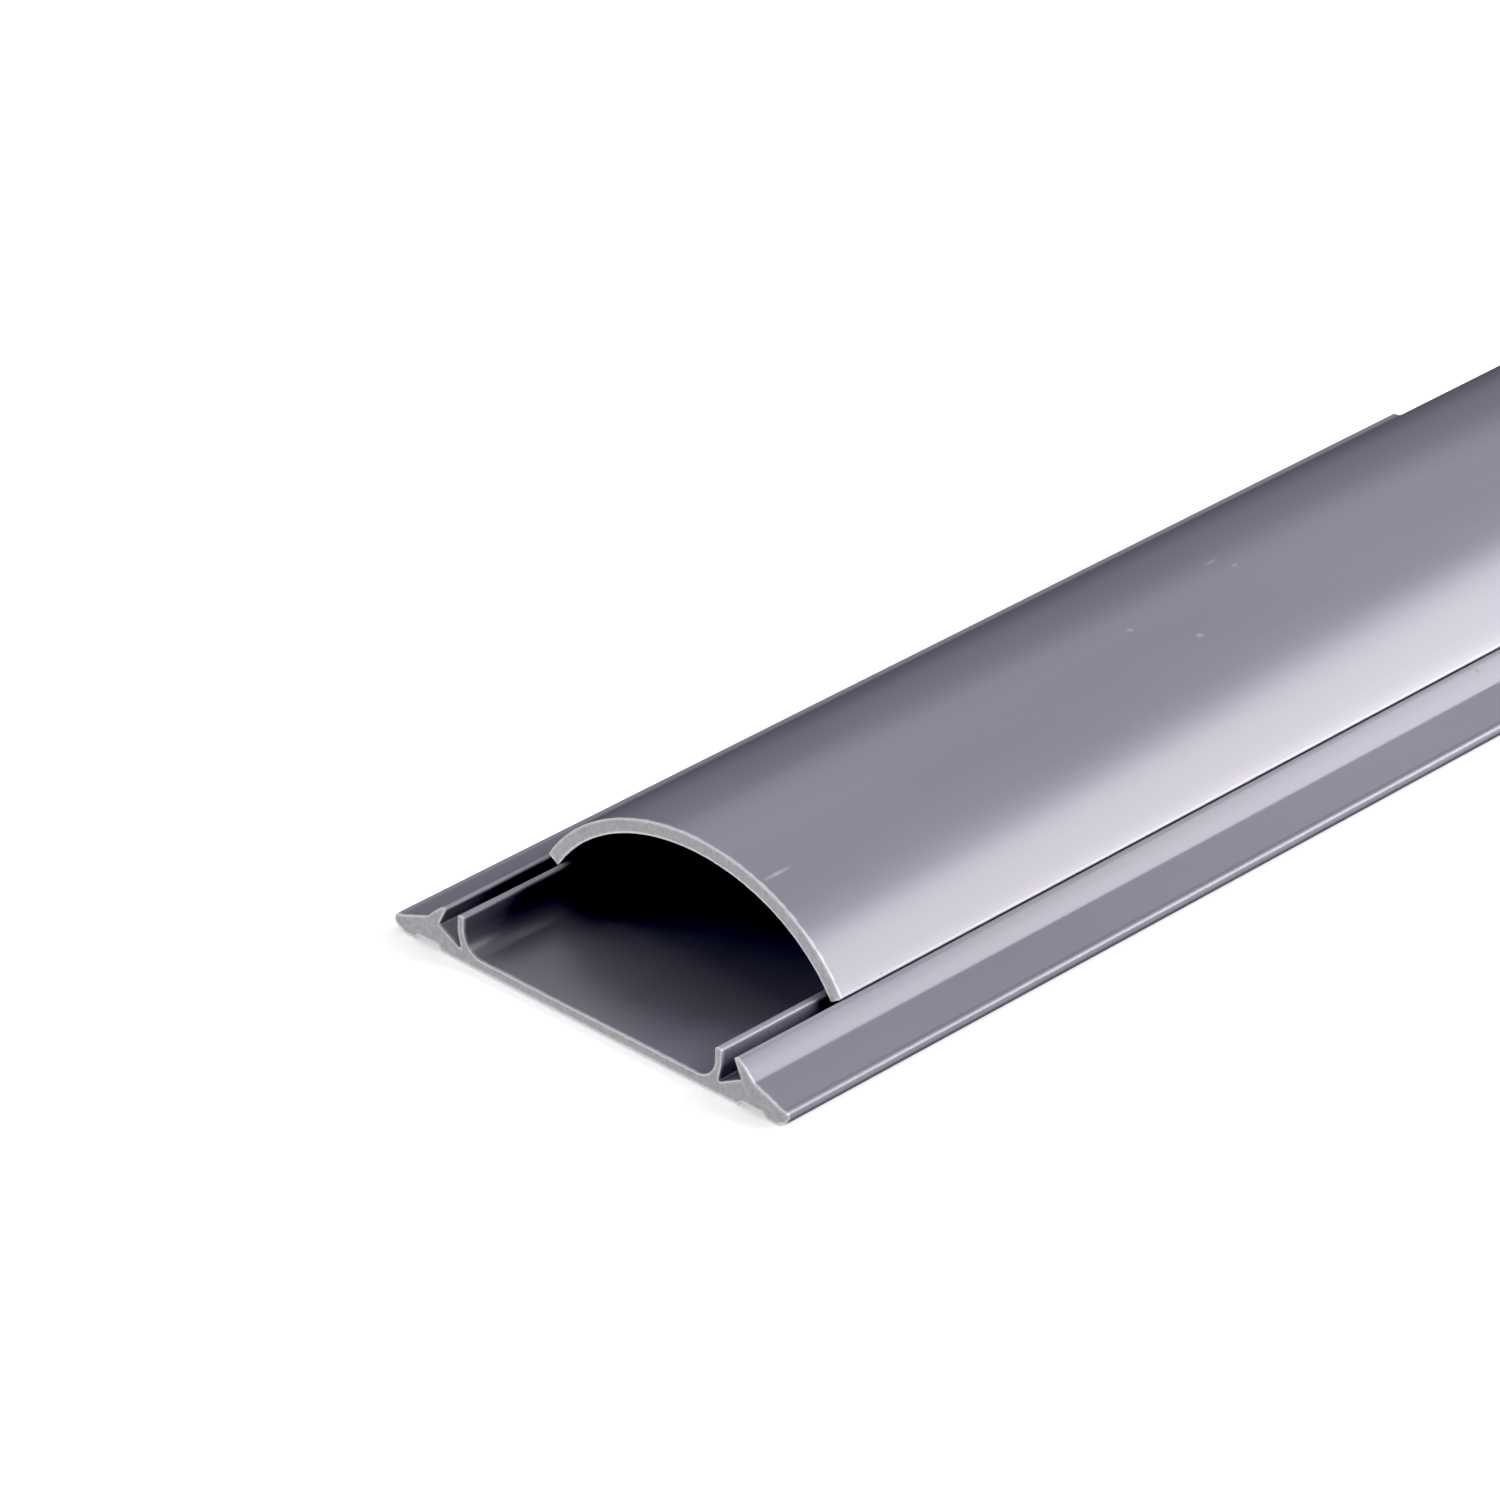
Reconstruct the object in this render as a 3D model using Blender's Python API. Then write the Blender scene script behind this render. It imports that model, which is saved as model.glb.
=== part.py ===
"""Half-round floor trunking that covers a cord: two extruded PVC pieces, 70 x 20 mm, 200 mm long.

The base lies on the floor. The arched cover's edges sit in the mouths of the base's two grooves and
slide there. It is drawn back by 19 mm, so the front of the base lies open.
X runs along the length with the open end at -X, Y across the width and Z up. The origin is the middle
of the base's underside. Units are metres.
"""

import math

import bmesh
import bpy
from mathutils import Vector

MM = 0.001

# Overall sizes
LENGTH = 200 * MM
HALF_WIDTH = 35 * MM
HEIGHT = 20 * MM
COVER_SETBACK = 19 * MM

# Floor plate of the base, with the relief and the foot under each ramp
WEB_THICKNESS = 1.6 * MM
PLATE_HALF_WIDTH = 26.3 * MM
RELIEF_INNER_Y = 27.1 * MM
RELIEF_OUTER_Y = 30.5 * MM
RELIEF_HEIGHT = 0.7 * MM
FOOT_INNER_Y = 31.5 * MM
FOOT_OUTER_Y = 33.1 * MM

# Ramp, from the thin tip up over one crease and a slight swelling to the ridge
TIP_UNDER_Y = 34.7 * MM
TIP_UNDER_Z = 0.8 * MM
TIP_MIDDLE_Z = 1.5 * MM
TIP_TOP_Y = 34.9 * MM
TIP_TOP_Z = 2.25 * MM
LAND_INNER_Y = 34 * MM
LAND_INNER_Z = 2.3 * MM
RAMP_SWELL_Y = 27.7 * MM
RAMP_SWELL_Z = 5.72 * MM
CREASE_Y = 28.95 * MM
CREASE_Z = 4.35 * MM
RIDGE_OUTER_Y = 26.35 * MM
RIDGE_INNER_Y = 25.4 * MM
RIDGE_TOP_Z = 6.9 * MM

# Groove, wider below than at its mouth, between the ridge and the upright rib
GROOVE_OUTER_Y = 26.9 * MM
GROOVE_OUTER_Z = 3.9 * MM
GROOVE_INNER_Y = 22.8 * MM
GROOVE_INNER_Z = 1.75 * MM
RIB_BULGE_Y = 23.5 * MM
RIB_BULGE_Z = 4.6 * MM
RIB_OUTER_Y = 23.4 * MM
RIB_INNER_Y = 22.3 * MM
RIB_TOP_Z = 6.75 * MM

# Roundings
FINE_ROUND = 0.25 * MM
EDGE_ROUND = 0.45 * MM
RAMP_SWELL_ROUND = 12 * MM
RIB_BULGE_ROUND = 3 * MM
WEB_FILLET = 3.2 * MM

# Cover: an elliptical arch with an even wall, cut square across the wall at its two lower edges
ARCH_HALF_AXIS = 29 * MM
ARCH_RISE = 23.5 * MM
WALL = 2.05 * MM
COVER_EDGE_Z = 7.3 * MM
OUTER_CORNER_ROUND = 0.2 * MM
INNER_CORNER_ROUND = 0.4 * MM

# Fineness of the round stretches
ARCH_SEGMENTS = 56
ARC_STEP = math.radians(15)
SMOOTH_BELOW = math.radians(25)


def clear_scene():
    for item in list(bpy.data.objects):
        bpy.data.objects.remove(item, do_unlink=True)


def round_corner(before, corner, after, radius):
    """Return the points of the arc that rounds one corner of an outline."""
    corner = Vector(corner)
    way_back = (Vector(before) - corner).normalized()
    way_on = (Vector(after) - corner).normalized()
    opening = way_back.angle(way_on)
    centre = corner + (way_back + way_on).normalized() * radius / math.sin(opening / 2)
    first = (corner + way_back * radius / math.tan(opening / 2) - centre).normalized()
    last = (corner + way_on * radius / math.tan(opening / 2) - centre).normalized()
    steps = max(2, round((math.pi - opening) / ARC_STEP))
    return [tuple(centre + first.slerp(last, step / steps) * radius) for step in range(steps + 1)]


def rounded(corners):
    """Round the inner corners of an open outline; each corner is (y, z, radius)."""
    points = [corners[0][:2]]
    for before, corner, after in zip(corners, corners[1:], corners[2:]):
        points += round_corner(before[:2], corner[:2], after[:2], corner[2])
    points.append(corners[-1][:2])
    return points


def mirrored_over_middle(half_outline):
    """Complete an outline whose half runs on the +Y side from one middle point to the other."""
    other_half = [(-y, z) for y, z in reversed(half_outline)]
    return half_outline[:-1] + other_half[:-1]


def base_outline():
    """Section of the base: underside, foot, tip, ramp, ridge, groove, rib and web."""
    half = rounded([
        (0, 0, 0),
        (PLATE_HALF_WIDTH, 0, FINE_ROUND),
        (RELIEF_INNER_Y, RELIEF_HEIGHT, FINE_ROUND),
        (RELIEF_OUTER_Y, RELIEF_HEIGHT, FINE_ROUND),
        (FOOT_INNER_Y, 0, FINE_ROUND),
        (FOOT_OUTER_Y, 0, EDGE_ROUND),
        (TIP_UNDER_Y, TIP_UNDER_Z, EDGE_ROUND),
        (HALF_WIDTH, TIP_MIDDLE_Z, FINE_ROUND),
        (TIP_TOP_Y, TIP_TOP_Z, EDGE_ROUND),
        (LAND_INNER_Y, LAND_INNER_Z, FINE_ROUND),
        (CREASE_Y, CREASE_Z, EDGE_ROUND),
        (RAMP_SWELL_Y, RAMP_SWELL_Z, RAMP_SWELL_ROUND),
        (RIDGE_OUTER_Y, RIDGE_TOP_Z, FINE_ROUND),
        (RIDGE_INNER_Y, RIDGE_TOP_Z, FINE_ROUND),
        (GROOVE_OUTER_Y, GROOVE_OUTER_Z, FINE_ROUND),
        (GROOVE_INNER_Y, GROOVE_INNER_Z, FINE_ROUND),
        (RIB_BULGE_Y, RIB_BULGE_Z, RIB_BULGE_ROUND),
        (RIB_OUTER_Y, RIB_TOP_Z, FINE_ROUND),
        (RIB_INNER_Y, RIB_TOP_Z, FINE_ROUND),
        (RIB_INNER_Y, WEB_THICKNESS, WEB_FILLET),
        (0, WEB_THICKNESS, 0),
    ])
    return mirrored_over_middle(half)


def arch_point(angle, depth):
    """Point of the arch at an angle from +Y, at a depth below its outer surface."""
    y = ARCH_HALF_AXIS * math.cos(angle)
    z = HEIGHT - ARCH_RISE + ARCH_RISE * math.sin(angle)
    normal_y = ARCH_RISE * math.cos(angle)
    normal_z = ARCH_HALF_AXIS * math.sin(angle)
    size = math.hypot(normal_y, normal_z)
    return (y - depth * normal_y / size, z - depth * normal_z / size)


def cover_outline():
    """Section of the cover: outer arch, square lower edge in the groove's mouth and inner arch."""
    edge_angle = math.asin((COVER_EDGE_Z - HEIGHT + ARCH_RISE) / ARCH_RISE)
    half_steps = ARCH_SEGMENTS // 2
    angles = [edge_angle + (math.pi / 2 - edge_angle) * step / half_steps
              for step in range(half_steps + 1)]
    outer = [arch_point(angle, 0) for angle in reversed(angles)]
    inner = [arch_point(angle, WALL) for angle in angles]
    edge = rounded([
        (*outer[-2], 0),
        (*outer[-1], OUTER_CORNER_ROUND),
        (*inner[0], INNER_CORNER_ROUND),
        (*inner[1], 0),
    ])
    return mirrored_over_middle(outer[:-2] + edge + inner[2:])


def plastic(name, colour, roughness):
    material = bpy.data.materials.new(name)
    material.use_nodes = True
    shader = material.node_tree.nodes["Principled BSDF"]
    shader.inputs["Base Color"].default_value = (*colour, 1)
    shader.inputs["Roughness"].default_value = roughness
    shader.inputs["Metallic"].default_value = 0
    return material


def extrusion(name, outline, material, parent):
    """Draw a section, extrude it along X over the whole length and centre it on its own origin."""
    mesh = bpy.data.meshes.new(name)
    shape = bmesh.new()
    section = shape.faces.new([shape.verts.new((-LENGTH / 2, y, z)) for y, z in outline])
    pushed = bmesh.ops.extrude_face_region(shape, geom=[section])
    moved = [item for item in pushed["geom"] if isinstance(item, bmesh.types.BMVert)]
    bmesh.ops.translate(shape, verts=moved, vec=(LENGTH, 0, 0))
    bmesh.ops.recalc_face_normals(shape, faces=shape.faces)
    shape.to_mesh(mesh)
    shape.free()
    mesh.shade_smooth()
    mesh.set_sharp_from_angle(angle=SMOOTH_BELOW)
    mesh.materials.append(material)
    piece = bpy.data.objects.new(name, mesh)
    piece.parent = parent
    bpy.context.collection.objects.link(piece)
    return piece


def build():
    clear_scene()
    trunking = bpy.data.objects.new("trunking", None)
    bpy.context.collection.objects.link(trunking)
    base_plastic = plastic("base_grey_pvc", (0.31, 0.3, 0.36), 0.42)
    cover_plastic = plastic("cover_grey_pvc", (0.33, 0.32, 0.38), 0.38)
    extrusion("base_channel", base_outline(), base_plastic, trunking)
    cover = extrusion("arched_cover", cover_outline(), cover_plastic, trunking)
    cover.location.x = COVER_SETBACK


build()
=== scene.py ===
"""Half-round floor cord cover, 70 x 20 mm: a grey PVC base on a pale floor, an arched cover in its grooves.

The cover is drawn back a little, so that the front of the base lies open. The scene is in metres, while the
sections and the marks are written down in millimetres."""

import math

import bmesh
import bpy
import numpy as np
from mathutils import Matrix, Vector, noise
from mathutils.geometry import delaunay_2d_cdt


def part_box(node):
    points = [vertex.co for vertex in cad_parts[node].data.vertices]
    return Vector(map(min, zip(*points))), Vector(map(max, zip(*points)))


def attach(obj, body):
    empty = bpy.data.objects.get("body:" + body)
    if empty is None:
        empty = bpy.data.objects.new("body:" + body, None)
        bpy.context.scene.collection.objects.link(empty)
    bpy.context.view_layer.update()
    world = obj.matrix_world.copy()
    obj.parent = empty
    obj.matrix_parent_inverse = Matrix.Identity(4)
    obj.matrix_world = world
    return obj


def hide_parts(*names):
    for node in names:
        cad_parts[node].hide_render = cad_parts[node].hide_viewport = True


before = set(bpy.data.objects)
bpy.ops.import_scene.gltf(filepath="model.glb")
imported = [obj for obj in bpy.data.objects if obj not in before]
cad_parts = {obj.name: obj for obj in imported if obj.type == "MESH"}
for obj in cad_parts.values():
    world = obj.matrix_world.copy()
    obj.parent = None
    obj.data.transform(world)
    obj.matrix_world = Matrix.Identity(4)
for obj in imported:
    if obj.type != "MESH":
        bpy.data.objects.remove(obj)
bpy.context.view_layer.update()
scene = bpy.context.scene
scene.view_settings.view_transform = "Standard"
# the studio picture's own contrast: what is darker than this goes to black
scene.view_settings.use_curve_mapping = True
scene.view_settings.curve_mapping.black_level = (0.02, 0.02, 0.02)
scene.view_settings.curve_mapping.update()

# Camera
# It stands in front of the open end, to the right and above, far away with a long lens.
# Heading is measured from +X towards +Y, tilt downwards from level, roll clockwise.
camera_heading = math.radians(43.408)
camera_tilt = math.radians(29.426)
camera_roll = math.radians(0.763)
camera_aim = Vector((-0.0338, 0.0349, 0))
camera_distance = 1.1294
camera_turn = (Matrix.Rotation(camera_heading - math.pi / 2, 4, "Z")
               @ Matrix.Rotation(math.pi / 2 - camera_tilt, 4, "X")
               @ Matrix.Rotation(camera_roll, 4, "Z"))
camera_lens = bpy.data.cameras.new("camera")
camera_lens.sensor_width = 36
camera_lens.lens = 202.3
camera_lens.clip_start = 0.05
camera_lens.clip_end = 20
camera = bpy.data.objects.new("camera", camera_lens)
camera_place = camera_aim + camera_turn @ Vector((0, 0, camera_distance))
camera.matrix_world = Matrix.Translation(camera_place) @ camera_turn
scene.collection.objects.link(camera)
scene.camera = camera

# Studio
# A pale matt floor and softboxes all round. The satin plastic mirrors the two low ones on the right as the
# bright band along the cover, the low one on the left lights the sawn ends, and the one overhead lights the
# open front of the base.
MM = 0.001


def linear(hex_colour):
    """Turn an sRGB hex colour into the linear RGBA that the shaders take."""
    channels = [int(hex_colour[i:i + 2], 16) / 255 for i in (1, 3, 5)]
    return (*[c / 12.92 if c <= 0.04045 else ((c + 0.055) / 1.055) ** 2.4 for c in channels], 1)


def node(tree, kind, links=None, **settings):
    """Add a node, set its attributes, and feed its inputs: a socket is linked, anything else is its value."""
    made = tree.nodes.new(kind)
    for name, value in settings.items():
        setattr(made, name, value)
    for name, value in (links or {}).items():
        socket = made.inputs[name]
        if isinstance(value, bpy.types.NodeSocket):
            tree.links.new(value, socket)
        else:
            socket.default_value = value
    return made


floor_size = 8
floor_drop = 0.1 * MM
floor_mesh = bpy.data.meshes.new("floor")
floor_shape = bmesh.new()
bmesh.ops.create_grid(floor_shape, x_segments=1, y_segments=1, size=floor_size / 2)
floor_shape.to_mesh(floor_mesh)
floor_shape.free()
floor = bpy.data.objects.new("floor", floor_mesh)
floor.location.z = -floor_drop
scene.collection.objects.link(floor)

# matt backdrop paper: it mirrors nothing and looks evenly white
floor_paper = bpy.data.materials.new("white_paper")
floor_paper.use_nodes = True
floor_shader = floor_paper.node_tree.nodes["Principled BSDF"]
floor_shader.inputs["Base Color"].default_value = linear("#f6f6f7")
floor_shader.inputs["Roughness"].default_value = 0.9
floor_shader.inputs["Emission Color"].default_value = linear("#ffffff")
floor_shader.inputs["Emission Strength"].default_value = 0.5
floor_mesh.materials.append(floor_paper)
# the object stands clear of the paper's own light, as on a raised table
floor.visible_glossy = False
floor.visible_diffuse = False

room = bpy.data.worlds.new("room")
room.use_nodes = True
room_light = room.node_tree.nodes["Background"]
room_light.inputs["Color"].default_value = linear("#e9e9f2")
room_light.inputs["Strength"].default_value = 0.02
scene.world = room

softbox_distance = 4


def softbox(name, azimuth, elevation, half_width, half_height, brightness, colour):
    """Hang a softbox that faces the origin and covers a part of the sky, all angles in degrees.

    Azimuth is measured from +X towards +Y. Brightness is its radiance."""
    direction = Vector((1, 0, 0))
    direction.rotate(Matrix.Rotation(math.radians(-elevation), 3, "Y"))
    direction.rotate(Matrix.Rotation(math.radians(azimuth), 3, "Z"))
    light = bpy.data.lights.new(name, "AREA")
    light.shape = "RECTANGLE"
    light.size = 2 * softbox_distance * math.tan(math.radians(half_width))
    light.size_y = 2 * softbox_distance * math.tan(math.radians(half_height))
    light.energy = brightness * math.pi * light.size * light.size_y
    light.color = linear(colour)[:3]
    lamp = bpy.data.objects.new(name, light)
    lamp.location = direction * softbox_distance
    lamp.rotation_euler = direction.to_track_quat("Z", "Y").to_euler()
    scene.collection.objects.link(lamp)


softbox("right_softbox", -34, 22, 22, 22, 8.6, "#fffbfe")
softbox("low_strip_light", -44, 9, 12, 9, 7, "#fffbfc")
softbox("top_softbox", 24, 48, 32, 22, 1.1, "#fffcff")
softbox("overhead_softbox", 0, 86, 14, 14, 1.5, "#ffffff")
softbox("back_softbox", 54, 12, 26, 14, 0.15, "#ffffff")
softbox("far_softbox", 110, 22, 20, 15, 2.2, "#ffffff")
softbox("left_softbox", 163, 7, 32, 7, 8.2, "#ffffff")

# Base channel
# The floor piece of the trunking: a thin plate with an upright rib and an undercut ridge on each side, and
# a ramp outside each ridge. It is one extrusion of grey rigid PVC, sawn square at both ends.
base_front, base_back = (corner[0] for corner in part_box("base_channel"))
section_arc_step = math.radians(9)
smooth_below = math.radians(28)
station_spacing = 5 * MM
side_length = 0.5 * MM
# the painted highlight along an edge that stands out reaches about this far from it
highlight_reach = 0.5 * MM
# the saw leaves a low burr round each cut, given by its depth inside the outline and its height there. It is
# uneven, with a mean and a swing that are shares of that height, and lip_room is the length kept for it.
lip_room = 0.15 * MM
lip_profile = ((0.07 * MM, 0.1 * MM), (0.14 * MM, 0.09 * MM), (0.22 * MM, 0.02 * MM))
burr_mean = 0.7
burr_swing = 0.5
burr_grain = 0.8 * MM
# inside the burr, the sawn face is a grid of points with ripples that run up the section
saw_grid = 0.3 * MM
grid_clearance = 0.4 * saw_grid
saw_ripple = 0.02 * MM
ripple_length = 12 * saw_grid
merge_distance = 1e-7
triangles_inside = 1

base_half_section = [
    # y, z and rounding radius in millimetres, from the middle of the underside to the middle of the top
    (0, 0, 0),
    (26.3, 0, 0.25),
    (27.1, 0.7, 0.25),
    (30.5, 0.7, 0.25),
    (31.5, 0, 0.25),
    (33.1, 0, 0.45),
    (34.7, 0.8, 0.45),
    (35, 1.5, 0.25),
    (34.75, 2.45, 0.5),
    (33.9, 2.4, 0.25),
    (29, 4.25, 0.9),
    (27.7, 5.58, 12),
    (26.35, 6.67, 0.8),
    (25.5, 6.67, 0.25),
    (26.9, 3.9, 0.25),
    (22.8, 1.75, 0.25),
    (23.5, 4.6, 3),
    (23.4, 6.75, 0.3),
    (22.3, 6.75, 0.3),
    (22.3, 1.6, 3.2),
    (0, 1.6, 0),
]


def rounded(corners):
    """Replace each inner corner (y, z, radius) of an open outline by an arc that touches both its sides."""
    points = [Vector(corners[0][:2])]
    for before, corner, after in zip(corners, corners[1:], corners[2:]):
        middle = Vector(corner[:2])
        way_back = (Vector(before[:2]) - middle).normalized()
        way_on = (Vector(after[:2]) - middle).normalized()
        opening = way_back.angle(way_on)
        centre = middle + (way_back + way_on).normalized() * corner[2] / math.sin(opening / 2)
        first = (middle + way_back * corner[2] / math.tan(opening / 2) - centre).normalized()
        last = (middle + way_on * corner[2] / math.tan(opening / 2) - centre).normalized()
        steps = max(2, round((math.pi - opening) / section_arc_step))
        points += [centre + first.slerp(last, step / steps) * corner[2] for step in range(steps + 1)]
    points.append(Vector(corners[-1][:2]))
    return points


def both_sides(half_section):
    """Mirror a half section over the middle plane into one closed outline, in metres."""
    other_half = [Vector((-y, z)) for y, z in reversed(half_section)]
    return [point * MM for point in half_section[:-1] + other_half[:-1]]


def inset(outline, depth):
    """Move a closed outline, which runs counter-clockwise, inwards by less than its roundings."""
    moved = []
    for before, point, after in zip(outline[-1:] + outline, outline, outline[1:] + outline[:1]):
        way_in = (point - before).normalized()
        way_on = (after - point).normalized()
        inward_first = Vector((-way_in.y, way_in.x))
        inward_last = Vector((-way_on.y, way_on.x))
        moved.append(point + (inward_first + inward_last) * depth / (1 + inward_first.dot(inward_last)))
    return moved


def split_sides(outline):
    """Add points to a closed outline until no side is longer than side_length."""
    points = []
    for point, after in zip(outline, outline[1:] + outline[:1]):
        pieces = math.ceil((after - point).length / side_length)
        points += [point.lerp(after, step / pieces) for step in range(pieces)]
    return points


def edge_highlight(outline):
    """How sharply a counter-clockwise outline turns outwards near each point, 1 at a square corner: its share
    of painted highlight.
    """
    points = np.array(outline)
    way_in = points - np.roll(points, 1, axis=0)
    way_on = np.roll(points, -1, axis=0) - points
    turn = np.arctan2(way_in[:, 0] * way_on[:, 1] - way_in[:, 1] * way_on[:, 0], (way_in * way_on).sum(1))
    distance = np.linalg.norm(points[:, None] - points, axis=2)
    return np.clip((turn * np.exp(-(distance / highlight_reach) ** 2)).sum(1) / (math.pi / 2), 0, 1)


def depths_inside(points, outline):
    """Distance from each point to the nearest side of a closed outline, negative outside it."""
    points = np.array(points)[:, None, :]
    last = np.array(outline)
    first = np.roll(last, 1, axis=0)
    side = last - first
    along = np.clip(((points - first) * side).sum(2) / (side ** 2).sum(1), 0, 1)
    nearest = np.linalg.norm(first + side * along[..., None] - points, axis=2).min(1)
    height = points[..., 1]
    level_side = np.where(side[:, 1] == 0, np.inf, side[:, 1])
    crossing = first[:, 0] + (height - first[:, 1]) * side[:, 0] / level_side
    crossed = ((first[:, 1] > height) != (last[:, 1] > height)) & (crossing > points[..., 0])
    return np.where(crossed.sum(1) % 2 == 1, nearest, -nearest)


def sawn_face(shape, ring, outline, out, depth_layer):
    """Close one end of an extrusion with a low lip of burr and the sawn face inside it.

    Each point keeps its depth inside the outline, for the finish."""
    x = ring[0].co.x
    for depth, rise in lip_profile:
        narrower = inset(outline, depth)
        lip = []
        for point in narrower:
            height = rise * (burr_mean + burr_swing * noise.noise(point.to_3d() / burr_grain))
            vertex = shape.verts.new((x + out * height, *point))
            vertex[depth_layer] = depth
            lip.append(vertex)
        for i in range(len(ring)):
            face = shape.faces.new((ring[i - 1], ring[i], lip[i], lip[i - 1]))
            face.material_index = 1
        ring = lip
    low = np.min(narrower, axis=0) + saw_grid / 2
    high = np.max(narrower, axis=0)
    grid = np.mgrid[low[0]:high[0]:saw_grid, low[1]:high[1]:saw_grid].reshape(2, -1).T
    grid_depths = depths_inside(grid, narrower)
    kept = grid_depths > grid_clearance
    points = narrower + [Vector(point) for point in grid[kept]]
    depths = grid_depths[kept] + lip_profile[-1][0]
    lip_count = len(narrower)
    filled = delaunay_2d_cdt(points, [], [list(range(lip_count))], triangles_inside, merge_distance)
    verts = []
    for place, origins in zip(filled[0], filled[3]):
        if origins and min(origins) < lip_count:
            verts.append(ring[min(origins)])
            continue
        ripple = saw_ripple * noise.noise(Vector((place.x / saw_grid, place.y / ripple_length, out)))
        vertex = shape.verts.new((x + out * (lip_profile[-1][1] * burr_mean + ripple), *place))
        vertex[depth_layer] = depths[min(origins) - lip_count]
        verts.append(vertex)
    for corners in filled[2]:
        face = shape.faces.new([verts[i] for i in corners])
        face.material_index = 1


def sawn_extrusion(name, outline, front, back, materials):
    """Extrude an outline along X and saw it off at both ends, with one material for its skin and one for the
    sawn faces."""
    area = sum(a.x * b.y - b.x * a.y for a, b in zip(outline, outline[1:] + outline[:1]))
    if area < 0:
        outline = outline[::-1]
    outline = split_sides(outline)
    # each point's share of the painted highlight on the edges that stand out, kept in the mesh
    highlight_share = edge_highlight(outline)
    length = back - front - 2 * lip_room
    count = math.ceil(length / station_spacing)
    stations = [front + lip_room + length * step / count for step in range(count + 1)]
    shape = bmesh.new()
    depth_layer = shape.verts.layers.float.new("cut_depth")
    highlight_layer = shape.verts.layers.float.new("edge_highlight")
    rings = [[shape.verts.new((x, *point)) for point in outline] for x in stations]
    for ring in rings:
        for vertex, amount in zip(ring, highlight_share):
            vertex[highlight_layer] = amount
    for ring, further in zip(rings, rings[1:]):
        for i in range(len(outline)):
            shape.faces.new((ring[i - 1], ring[i], further[i], further[i - 1]))
    sawn_face(shape, rings[0], outline, -1, depth_layer)
    sawn_face(shape, rings[-1], outline, 1, depth_layer)
    bmesh.ops.recalc_face_normals(shape, faces=shape.faces)
    mesh = bpy.data.meshes.new(name)
    shape.to_mesh(mesh)
    shape.free()
    mesh.shade_smooth()
    mesh.set_sharp_from_angle(angle=smooth_below)
    for material in materials:
        mesh.materials.append(material)
    piece = bpy.data.objects.new(name, mesh)
    scene.collection.objects.link(piece)
    return piece


def shaded(colour, share):
    """A colour made darker or lighter by a share of itself."""
    return (*[channel * share for channel in linear(colour)[:3]], 1)


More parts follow.
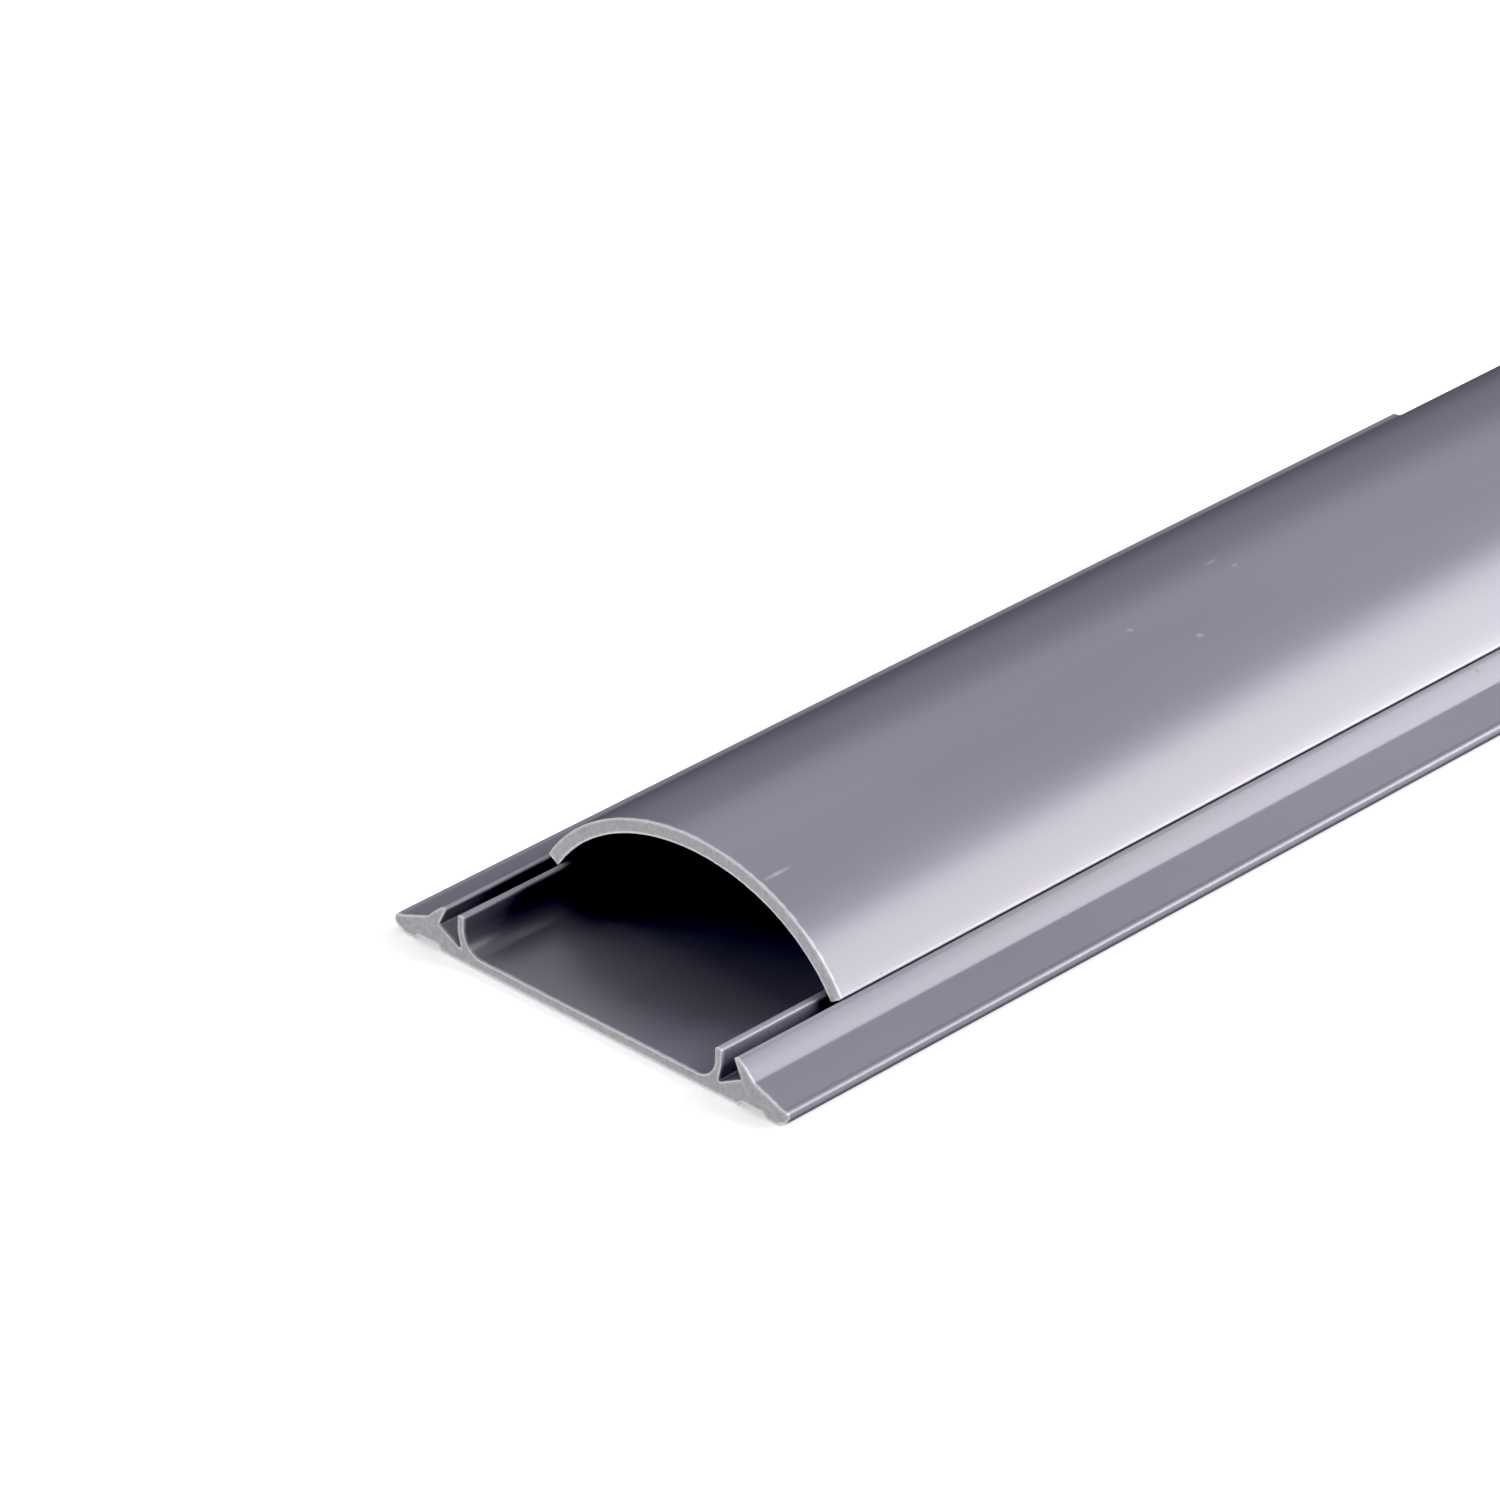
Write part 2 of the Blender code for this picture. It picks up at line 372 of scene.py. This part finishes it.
def extruded_pvc(name, colour, roughness, ends, marks):
    """Rigid PVC with its extruded skin: an even satin grey that mirrors a lamp as a soft-edged band.

    Faint die lines run along it and the pigment varies a little. The edges that stand out carry a painted
    highlight in streaks, and the last tenths of a millimetre before each cut are whitened. Small pale or dark
    marks lie on it, handling scratches, specks and painted highlights, each given by its centre and half
    sizes in millimetres, its colour and its strength."""
    material = bpy.data.materials.new(name)
    material.use_nodes = True
    tree = material.node_tree
    shader = tree.nodes["Principled BSDF"]
    shader.inputs["IOR"].default_value = 1.54
    place = node(tree, "ShaderNodeTexCoord").outputs["Object"]

    # die lines are some 0.1 mm apart on the real skin, drawn 0.5 mm apart so that they show
    drawn = node(tree, "ShaderNodeMapping", {"Vector": place, "Scale": (9, 2000, 2000)}).outputs[0]
    die_lines = node(tree, "ShaderNodeTexNoise",
                     {"Vector": drawn, "Scale": 1.0, "Detail": 3.0}).outputs["Fac"]
    # pigment drifts over about 15 mm across and 80 mm along
    drift = node(tree, "ShaderNodeMapping", {"Vector": place, "Scale": (12, 65, 65)}).outputs[0]
    pigment = node(tree, "ShaderNodeTexNoise", {"Vector": drift, "Scale": 1.0, "Detail": 2.0}).outputs["Fac"]
    streak_share = 0.2
    streaks = node(tree, "ShaderNodeMath", {0: die_lines, 1: streak_share}, operation="MULTIPLY").outputs[0]
    tone = node(tree, "ShaderNodeMath", {0: pigment, 1: 1 - streak_share, 2: streaks},
                operation="MULTIPLY_ADD").outputs[0]
    tone_share = node(tree, "ShaderNodeMapRange",
                      {"Value": tone, "From Min": 0.3, "From Max": 0.7}).outputs[0]
    darker = shaded(colour, 0.93)
    lighter = shaded(colour, 1.07)
    skin = node(tree, "ShaderNodeMixRGB",
                {"Fac": tone_share, "Color1": darker, "Color2": lighter}).outputs[0]

    # the edges that stand out get a painted highlight, pale and broken into streaks some 10 mm long; an
    # attribute of the mesh says how far each point stands out
    highlight_colour = linear("#c9c8cf")
    highlight_streaks = node(tree, "ShaderNodeMapping", {"Vector": place, "Scale": (90, 1200, 1200)}).outputs[0]
    highlight_noise = node(tree, "ShaderNodeTexNoise",
                       {"Vector": highlight_streaks, "Scale": 1.0, "Detail": 2.0}).outputs["Fac"]
    standing_out = node(tree, "ShaderNodeAttribute", attribute_name="edge_highlight").outputs["Fac"]
    highlight_amount = node(tree, "ShaderNodeMath", {0: highlight_noise, 1: 0.3, 2: standing_out},
                  operation="MULTIPLY_ADD").outputs[0]
    painted_highlight = node(tree, "ShaderNodeMapRange",
                {"Value": highlight_amount, "From Min": 0.6, "From Max": 1.1, "To Max": 0.35}).outputs[0]
    skin = node(tree, "ShaderNodeMixRGB", {"Fac": painted_highlight, "Color1": skin, "Color2": highlight_colour}).outputs[0]

    # sawing whitens the skin for about half a millimetre, unevenly
    whitened_colour = linear("#cfcdd3")
    along = node(tree, "ShaderNodeSeparateXYZ", {0: place}).outputs[0]
    chips = node(tree, "ShaderNodeTexNoise", {"Vector": place, "Scale": 900.0, "Detail": 2.0}).outputs["Fac"]
    for end in ends:
        gap = node(tree, "ShaderNodeMath", {0: along, 1: end}, operation="SUBTRACT").outputs[0]
        reach = node(tree, "ShaderNodeMath", {0: gap}, operation="ABSOLUTE").outputs[0]
        frayed = node(tree, "ShaderNodeMath", {0: chips, 1: -0.5 * MM, 2: reach},
                      operation="MULTIPLY_ADD").outputs[0]
        whitened = node(tree, "ShaderNodeMapRange",
                        {"Value": frayed, "From Min": 0.35 * MM, "From Max": 0.0, "To Max": 0.8}).outputs[0]
        skin = node(tree, "ShaderNodeMixRGB",
                    {"Fac": whitened, "Color1": skin, "Color2": whitened_colour}).outputs[0]

    for centre, half_sizes, mark_colour, strength in marks:
        offset = node(tree, "ShaderNodeVectorMath", {0: place, 1: [c * MM for c in centre]},
                      operation="SUBTRACT").outputs[0]
        scaled = node(tree, "ShaderNodeVectorMath", {0: offset, 1: [1 / (s * MM) for s in half_sizes]},
                      operation="MULTIPLY").outputs[0]
        distance = node(tree, "ShaderNodeVectorMath", {0: scaled}, operation="LENGTH").outputs["Value"]
        mark = node(tree, "ShaderNodeMapRange",
                    {"Value": distance, "From Min": 1.0, "From Max": 0.1, "To Max": strength}).outputs[0]
        skin = node(tree, "ShaderNodeMixRGB",
                    {"Fac": mark, "Color1": skin, "Color2": linear(mark_colour)}).outputs[0]
    tree.links.new(skin, shader.inputs["Base Color"])

    # the polish changes only a little with the tone
    polish_swing = 0.02
    polish = node(tree, "ShaderNodeMapRange",
                  {"Value": tone, "From Min": 0.3, "From Max": 0.7,
                   "To Min": roughness - polish_swing, "To Max": roughness + polish_swing}).outputs[0]
    tree.links.new(polish, shader.inputs["Roughness"])
    # the satin itself is a grain far under a tenth of a millimetre, drawn at 0.25 mm
    grain = node(tree, "ShaderNodeTexNoise", {"Vector": place, "Scale": 4000.0, "Detail": 1.0}).outputs["Fac"]
    relief = node(tree, "ShaderNodeMath", {0: grain, 1: 0.25, 2: die_lines},
                  operation="MULTIPLY_ADD").outputs[0]
    bump = node(tree, "ShaderNodeBump",
                {"Height": relief, "Strength": 0.07, "Distance": 0.01 * MM}).outputs[0]
    tree.links.new(bump, shader.inputs["Normal"])
    return material


def sawn_pvc(name, colour, rim_colour):
    """Rigid PVC where the saw went through: paler, dull and mottled, with whitened rims.

    A point's depth from the cut's outline is in the mesh as cut_depth."""
    material = bpy.data.materials.new(name)
    material.use_nodes = True
    tree = material.node_tree
    shader = tree.nodes["Principled BSDF"]
    shader.inputs["IOR"].default_value = 1.54
    shader.inputs["Roughness"].default_value = 0.6
    place = node(tree, "ShaderNodeTexCoord").outputs["Object"]

    # the torn face is mottled in crumbs of about 0.8 mm
    crumbs = node(tree, "ShaderNodeTexNoise",
                  {"Vector": place, "Scale": 1300.0, "Detail": 3.0}).outputs["Fac"]
    crumb_tone = node(tree, "ShaderNodeMapRange",
                      {"Value": crumbs, "From Min": 0.3, "From Max": 0.7}).outputs[0]
    darker = shaded(colour, 0.88)
    lighter = shaded(colour, 1.12)
    face = node(tree, "ShaderNodeMixRGB",
                {"Fac": crumb_tone, "Color1": darker, "Color2": lighter}).outputs[0]
    depth = node(tree, "ShaderNodeAttribute", attribute_name="cut_depth").outputs["Fac"]
    frayed = node(tree, "ShaderNodeMath", {0: crumbs, 1: -0.25 * MM, 2: depth},
                  operation="MULTIPLY_ADD").outputs[0]
    rim = node(tree, "ShaderNodeMapRange", {"Value": frayed, "From Min": 0.3 * MM, "From Max": 0.02 * MM},
               interpolation_type="SMOOTHSTEP").outputs[0]
    face = node(tree, "ShaderNodeMixRGB",
                {"Fac": rim, "Color1": face, "Color2": linear(rim_colour)}).outputs[0]
    tree.links.new(face, shader.inputs["Base Color"])

    # the teeth leave lines 0.4 mm apart, slanting across the section
    tooth_slant = math.radians(20)
    teeth = node(tree, "ShaderNodeMapping",
                 {"Vector": place, "Rotation": (tooth_slant, 0, 0), "Scale": (0, 2500, 90)}).outputs[0]
    tooth_lines = node(tree, "ShaderNodeTexNoise",
                       {"Vector": teeth, "Scale": 1.0, "Detail": 2.0}).outputs["Fac"]
    relief = node(tree, "ShaderNodeMath", {0: crumbs, 1: 0.6, 2: tooth_lines},
                  operation="MULTIPLY_ADD").outputs[0]
    bump = node(tree, "ShaderNodeBump",
                {"Height": relief, "Strength": 0.5, "Distance": 0.05 * MM}).outputs[0]
    tree.links.new(bump, shader.inputs["Normal"])
    return material


base_marks = [
    # a painted highlight on the fillet at the foot of the far rib, and a dark speck on the near ridge
    ((-97.5, 21.3, 2), (1.6, 0.35, 0.5), "#c4c2c9", 0.8),
    ((43.4, -27, 6.1), (0.6, 0.45, 0.45), "#4a4853", 0.6),
]
base_skin = extruded_pvc("base_extruded_pvc", "#777785", 0.34, (base_front, base_back), base_marks)
cut_face = sawn_pvc("sawn_pvc", "#bab9be", "#e4e3e7")
base = sawn_extrusion("base_extrusion", both_sides(rounded(base_half_section)), base_front, base_back,
                      (base_skin, cut_face))
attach(base, "base")
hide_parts("base_channel")

# Arched cover
# The upper piece of the trunking: an elliptical arch whose square edges stand in the mouths of the grooves.
# It is one extrusion of the same PVC, drawn back along the base and sawn square at both ends.
cover_front, cover_back = (corner[0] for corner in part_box("arched_cover"))
# the sizes of the arch are in millimetres
arch_half_axis = 29
arch_rise = 23.5
arch_top = 20
arch_wall = 2.05
arch_edge_z = 6.97
arch_edge_round = 0.25
arch_segments = 160


def arch_point(angle, depth):
    """Point of the arch at an angle from +Y, at a depth below its outer surface, in millimetres."""
    across = arch_half_axis * math.cos(angle)
    up = arch_top - arch_rise + arch_rise * math.sin(angle)
    normal = Vector((arch_rise * math.cos(angle), arch_half_axis * math.sin(angle))).normalized()
    return Vector((across, up)) - depth * normal


edge_angle = math.asin((arch_edge_z - arch_top + arch_rise) / arch_rise)
angles = [edge_angle + (math.pi / 2 - edge_angle) * step / arch_segments * 2
          for step in range(arch_segments // 2 + 1)]
outer_arch = [arch_point(angle, 0) for angle in reversed(angles)]
inner_arch = [arch_point(angle, arch_wall) for angle in angles]
cover_edge = rounded([
    (*outer_arch[-2], 0),
    (*outer_arch[-1], arch_edge_round),
    (*inner_arch[0], arch_edge_round),
    (*inner_arch[1], 0),
])
cover_half_section = outer_arch[:-2] + cover_edge + inner_arch[2:]

cover_marks = [
    # a scratch beside the cut, four specks near the crown and one dark speck at the edge
    ((-77.6, -11.5, 18.05), (2.9, 0.4, 0.4), "#c6c5cc", 0.45),
    ((21.5, 2.4, 19.9), (1.8, 0.5, 0.5), "#b9b7c0", 0.3),
    ((23.1, -0.6, 20), (0.7, 0.5, 0.5), "#b9b7c0", 0.3),
    ((6.5, -8.9, 18.9), (0.8, 0.65, 0.65), "#b9b7c0", 0.4),
    ((-0.4, -2.6, 19.9), (0.7, 0.6, 0.6), "#b9b7c0", 0.35),
    ((-73.2, -25.8, 7.5), (0.35, 0.35, 0.35), "#4a4853", 0.7),
]
cover_skin = extruded_pvc("cover_extruded_pvc", "#787886", 0.25, (cover_front, cover_back), cover_marks)
cover = sawn_extrusion("cover_extrusion", both_sides(cover_half_section), cover_front, cover_back,
                       (cover_skin, cut_face))
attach(cover, "cover")
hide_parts("arched_cover")
